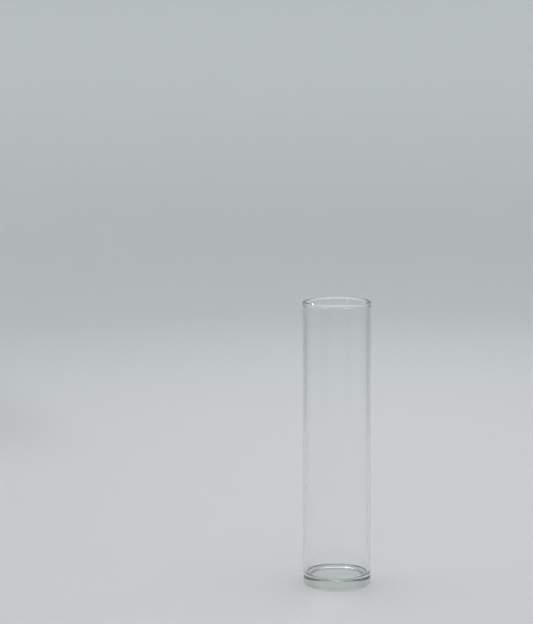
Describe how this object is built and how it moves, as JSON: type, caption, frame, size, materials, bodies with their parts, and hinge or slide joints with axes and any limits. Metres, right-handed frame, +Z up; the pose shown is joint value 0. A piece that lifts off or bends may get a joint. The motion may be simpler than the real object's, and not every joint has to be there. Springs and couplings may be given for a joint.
{
  "type": "glass cylinder vase",
  "caption": "Tall straight cylinder of clear glass with a heavy base, rounded heel and fire-polished rim, for holding cut flower stems in water.",
  "frame": {"origin": "centre of the foot, on the plane that the vase stands on", "axes": "+Z up along the cylinder's axis, out of the mouth; X and Y are any two level directions, because the vase is round"},
  "size_m": [0.0458, 0.0458, 0.193],
  "materials": {
    "clear_glass": "polished clear soda-lime glass with a faint grey-green cast where it is thick"
  },
  "bodies": {
    "root": {"glass_vase": "clear_glass"}
  },
  "joints": []
}
